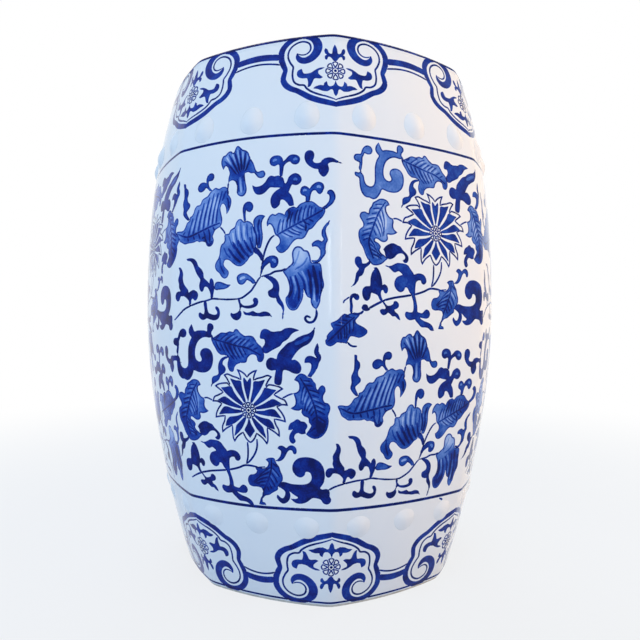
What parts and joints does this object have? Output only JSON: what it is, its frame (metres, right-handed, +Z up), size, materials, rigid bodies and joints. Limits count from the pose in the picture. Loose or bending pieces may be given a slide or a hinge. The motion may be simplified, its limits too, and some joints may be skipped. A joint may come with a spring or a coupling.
{
  "type": "garden stool",
  "caption": "Eight-sided barrel garden stool in white-glazed ceramic with blue scrolling-flower painting, rows of low bosses, a flat seat and a bare foot ring.",
  "frame": {"origin": "centre of the foot, on the surface that the stool stands on", "axes": "+Z up along the barrel's axis; a vertical corner of the barrel faces -Y, the side that the picture shows"},
  "size_m": [0.3678, 0.3678, 0.46],
  "materials": {
    "glaze": "glossy white glaze painted in cobalt blue",
    "bare_clay": "matt unglazed biscuit"
  },
  "bodies": {
    "root": {"seat_slab": "glaze", "wall_panel_1": "glaze", "wall_panel_2": "glaze", "wall_panel_3": "glaze", "wall_panel_4": "glaze", "wall_panel_5": "glaze", "wall_panel_6": "glaze", "wall_panel_7": "glaze", "wall_panel_8": "glaze", "upper_boss_row": "glaze", "lower_boss_row": "glaze", "seam_coil_1": "bare_clay", "seam_coil_2": "bare_clay", "seam_coil_3": "bare_clay", "seam_coil_4": "bare_clay", "seam_coil_5": "bare_clay", "seam_coil_6": "bare_clay", "seam_coil_7": "bare_clay", "seam_coil_8": "bare_clay", "base_ring": "bare_clay"}
  },
  "joints": []
}
